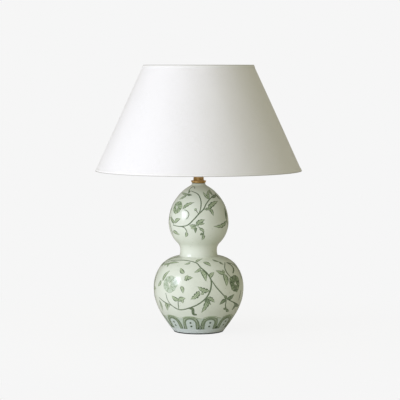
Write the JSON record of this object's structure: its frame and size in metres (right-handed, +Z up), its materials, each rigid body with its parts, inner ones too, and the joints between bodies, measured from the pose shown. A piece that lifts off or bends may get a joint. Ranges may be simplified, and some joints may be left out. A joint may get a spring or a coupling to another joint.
{
  "type": "double gourd table lamp",
  "caption": "Table lamp with a hollow double gourd ceramic body, brass neck and lampholder, and a tapered drum shade on a wire carrier.",
  "frame": {"origin": "centre of the felt's underside, on the table", "axes": "+Z up along the rod, -Y to the front, +Y to the back where the flex inlet is"},
  "size_m": [0.4499, 0.45, 0.582],
  "materials": {
    "glazed_body": "clear gloss glaze over a pale celadon ground with painted green scrolling leaves",
    "felt": "black felt",
    "zinc_steel": "bright zinc plate",
    "bush_rubber": "matte moulded rubber",
    "white_nylon": "moulded nylon",
    "aged_brass": "antique brass, lacquered",
    "contact_brass": "plain stamped brass",
    "core_ceramic": "unglazed steatite",
    "black_plastic": "moulded black phenolic",
    "white_wire": "white enamelled wire",
    "shade_linen": "off-white linen on a stiff backing",
    "shade_hem": "the same linen, rolled and glued",
    "bulb_glass": "frosted inside",
    "bulb_cap_metal": "rolled thread",
    "vitrite": "black glass insulator"
  },
  "bodies": {
    "lamp": {"gourd_body": "glazed_body", "foot_felt": "felt", "base_washer": "zinc_steel", "base_lock_washer": "zinc_steel", "base_nut": "zinc_steel", "threaded_rod": "zinc_steel", "flex_bush": "bush_rubber", "neck_centring_ring": "white_nylon", "vase_cap": "aged_brass", "brass_column": "aged_brass", "check_ring": "aged_brass", "holder_cup": "aged_brass", "holder_sleeve": "aged_brass", "holder_core": "core_ceramic", "screw_shell": "contact_brass", "centre_contact": "contact_brass", "terminal_blocks": "contact_brass", "terminal_screws": "zinc_steel", "earth_tag": "contact_brass", "shade_ring_lower": "black_plastic"},
    "switch": {"switch_bar": "black_plastic"},
    "clamp": {"shade_ring_upper": "black_plastic"},
    "carrier": {"carrier_collar": "white_wire", "carrier_ring": "white_wire", "carrier_leg_1": "white_wire", "carrier_leg_2": "white_wire", "carrier_leg_3": "white_wire", "carrier_leg_4": "white_wire"},
    "shade": {"shade_cover": "shade_linen", "shade_bottom_hem": "shade_hem", "shade_top_hem": "shade_hem", "shade_bottom_ring": "white_wire", "shade_top_ring": "white_wire", "shade_seat_ring": "white_wire", "shade_arm_1": "white_wire", "shade_arm_2": "white_wire", "shade_arm_3": "white_wire"},
    "bulb_centre": {"bulb_contact": "contact_brass"},
    "bulb": {"bulb_glass": "bulb_glass", "bulb_cap": "bulb_cap_metal", "bulb_insulator": "vitrite"}
  },
  "joints": [
    {"name": "switch_push", "type": "slide", "parent": "lamp", "child": "switch", "axis": [-1, 0, 0], "range_m": [0, 0.005]},
    {"name": "clamp_turn", "type": "hinge", "parent": "lamp", "child": "clamp", "pos_m": [0, 0, 0.388], "axis": [0, 0, 1], "range_deg": [0, 1080]},
    {"name": "carrier_turn", "type": "hinge", "parent": "lamp", "child": "carrier", "pos_m": [0, 0, 0.3837], "axis": [0, 0, 1], "continuous": true},
    {"name": "shade_lift", "type": "slide", "parent": "carrier", "child": "shade", "axis": [0, 0, 1], "range_m": [0, 0.24]},
    {"name": "bulb_rise", "type": "slide", "parent": "lamp", "child": "bulb_centre", "axis": [0, 0, 1], "range_m": [0, 0.02]},
    {"name": "bulb_turn", "type": "hinge", "parent": "bulb_centre", "child": "bulb", "pos_m": [0, 0, 0.4], "axis": [0, 0, 1], "range_deg": [0, 1980]}
  ],
  "couplings": [
    {"joint": "bulb_rise", "follows": "bulb_turn", "m_per_rad": 0.00057757}
  ]
}
